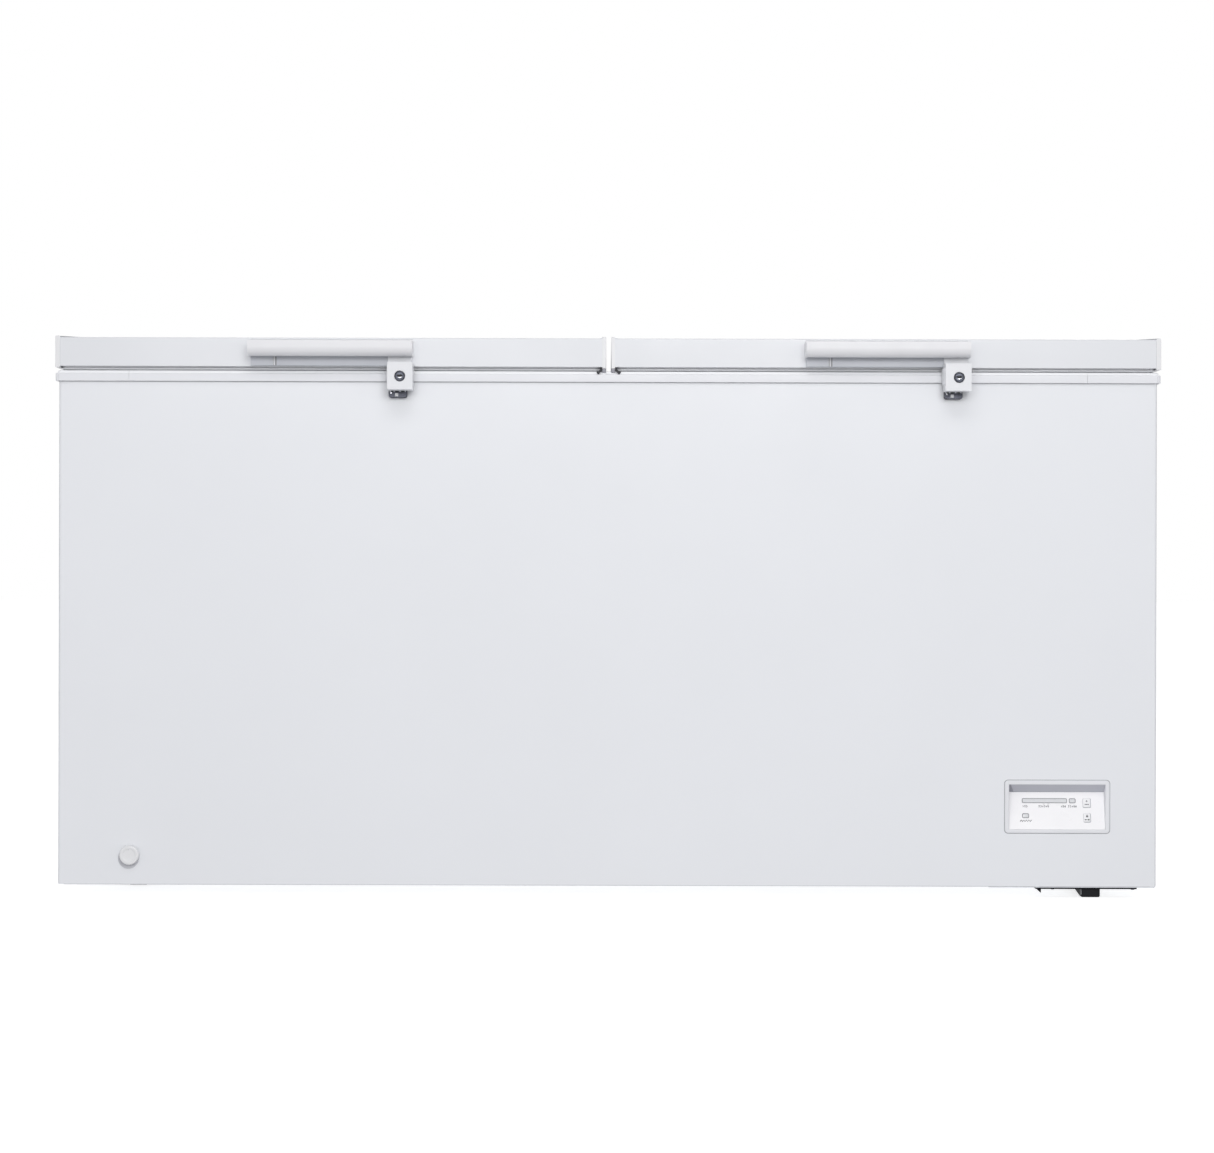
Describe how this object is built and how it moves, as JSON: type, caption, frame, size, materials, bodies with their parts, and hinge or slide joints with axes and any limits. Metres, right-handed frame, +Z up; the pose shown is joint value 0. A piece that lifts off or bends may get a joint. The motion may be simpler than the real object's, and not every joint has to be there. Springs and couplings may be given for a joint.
{
  "type": "chest freezer",
  "caption": "Wide free-standing chest freezer with two lockable lift-up lids, a recessed control panel, a pull-out drain and hanging baskets.",
  "frame": {"origin": "on the floor, under the centre of the whole freezer's bounding box", "axes": "+X to the user's right, +Y to the back, +Z up; the handles and control panel face -Y"},
  "size_m": [1.65, 0.742, 0.8362],
  "materials": {
    "white_steel": "glossy white powder coat",
    "white_plastic": "satin white moulding",
    "face_white": "smooth bright white",
    "embossed_aluminium": "finely embossed sheet",
    "galvanised": "zinc plated",
    "foam": "rigid cream foam",
    "gasket_grey": "matt soft grey",
    "dark_chrome": "dark polished metal",
    "black_plastic": "matt black",
    "black_enamel": "black enamel",
    "copper": "bare copper tube",
    "white_wire": "plastic-coated white",
    "lens_grey": "unlit translucent grey",
    "board_green": "circuit board"
  },
  "bodies": {
    "cabinet": {"cabinet_wrapper": "white_steel", "back_panel": "white_steel", "bottom_panel": "galvanised", "foam_insulation": "foam", "inner_liner": "embossed_aluminium", "evaporator_coil": "copper", "rim_front": "white_plastic", "rim_back": "white_plastic", "rim_left_end": "white_plastic", "rim_right_end": "white_plastic", "centre_bar": "white_plastic", "compressor_base": "galvanised", "compressor": "black_enamel", "filter_drier_and_pipes": "copper", "control_box": "white_plastic", "cord_gland": "black_plastic", "vent_grille": "white_plastic", "foot_front_right": "black_plastic", "foot_front_left": "black_plastic", "foot_back_right": "black_plastic", "foot_back_left": "black_plastic", "panel_bezel": "white_plastic", "panel_face": "face_white", "light_guide": "lens_grey", "panel_board": "board_green", "drain_pipe": "white_plastic", "hinge_base_left_outer": "galvanised", "hinge_base_left_inner": "galvanised", "hinge_base_right_inner": "galvanised", "hinge_base_right_outer": "galvanised", "keeper_left": "dark_chrome", "keeper_right": "dark_chrome"},
    "set_key": {"set_button": "face_white"},
    "unlock_key": {"unlock_button": "face_white"},
    "spout": {"drain_spout": "white_plastic"},
    "dial": {"drain_dial": "white_plastic"},
    "plug": {"drain_plug": "white_plastic"},
    "left_basket": {"basket_left": "white_wire"},
    "right_basket": {"basket_right": "white_wire"},
    "left_lid": {"lid_skin_left": "white_steel", "lid_foam_left": "foam", "lid_liner_left": "white_plastic", "lid_gasket_left": "gasket_grey", "handle_left": "white_plastic", "lock_housing_left": "white_plastic", "hinge_leaf_left_west": "galvanised", "hinge_leaf_left_east": "galvanised"},
    "left_lock": {"lock_cylinder_left": "dark_chrome", "lock_cam_left": "dark_chrome"},
    "right_lid": {"lid_skin_right": "white_steel", "lid_foam_right": "foam", "lid_liner_right": "white_plastic", "lid_gasket_right": "gasket_grey", "handle_right": "white_plastic", "lock_housing_right": "white_plastic", "hinge_leaf_right_west": "galvanised", "hinge_leaf_right_east": "galvanised"},
    "right_lock": {"lock_cylinder_right": "dark_chrome", "lock_cam_right": "dark_chrome"}
  },
  "joints": [
    {"name": "left_lid_hinge", "type": "hinge", "parent": "cabinet", "child": "left_lid", "pos_m": [-0.4139, 0.361, 0.8], "axis": [-1, 0, 0], "range_deg": [0, 75]},
    {"name": "left_lock_turn", "type": "hinge", "parent": "left_lid", "child": "left_lock", "pos_m": [-0.30845, -0.35, 0.7738], "axis": [0, 1, 0], "range_deg": [0, 90]},
    {"name": "left_basket_slide", "type": "slide", "parent": "cabinet", "child": "left_basket", "axis": [1, 0, 0], "range_m": [0, 0.45]},
    {"name": "right_lid_hinge", "type": "hinge", "parent": "cabinet", "child": "right_lid", "pos_m": [0.4139, 0.361, 0.8], "axis": [-1, 0, 0], "range_deg": [0, 75]},
    {"name": "right_lock_turn", "type": "hinge", "parent": "right_lid", "child": "right_lock", "pos_m": [0.51935, -0.35, 0.7738], "axis": [0, 1, 0], "range_deg": [0, 90]},
    {"name": "right_basket_slide", "type": "slide", "parent": "cabinet", "child": "right_basket", "axis": [-1, 0, 0], "range_m": [0, 0.45]},
    {"name": "set_key_press", "type": "slide", "parent": "cabinet", "child": "set_key", "axis": [0, 0.9648, -0.2631], "range_m": [0, 0.0012], "stiffness_N_per_m": 800},
    {"name": "unlock_key_press", "type": "slide", "parent": "cabinet", "child": "unlock_key", "axis": [0, 0.9648, -0.2631], "range_m": [0, 0.0012], "stiffness_N_per_m": 800},
    {"name": "drain_spout_pull", "type": "slide", "parent": "cabinet", "child": "spout", "axis": [0, -1, 0], "range_m": [0, 0.025]},
    {"name": "drain_dial_turn", "type": "hinge", "parent": "spout", "child": "dial", "pos_m": [-0.7126, -0.33, 0.0605], "axis": [0, 1, 0], "range_deg": [0, 90]},
    {"name": "drain_plug_lift", "type": "slide", "parent": "cabinet", "child": "plug", "axis": [0, 0, 1], "range_m": [0, 0.03]}
  ]
}
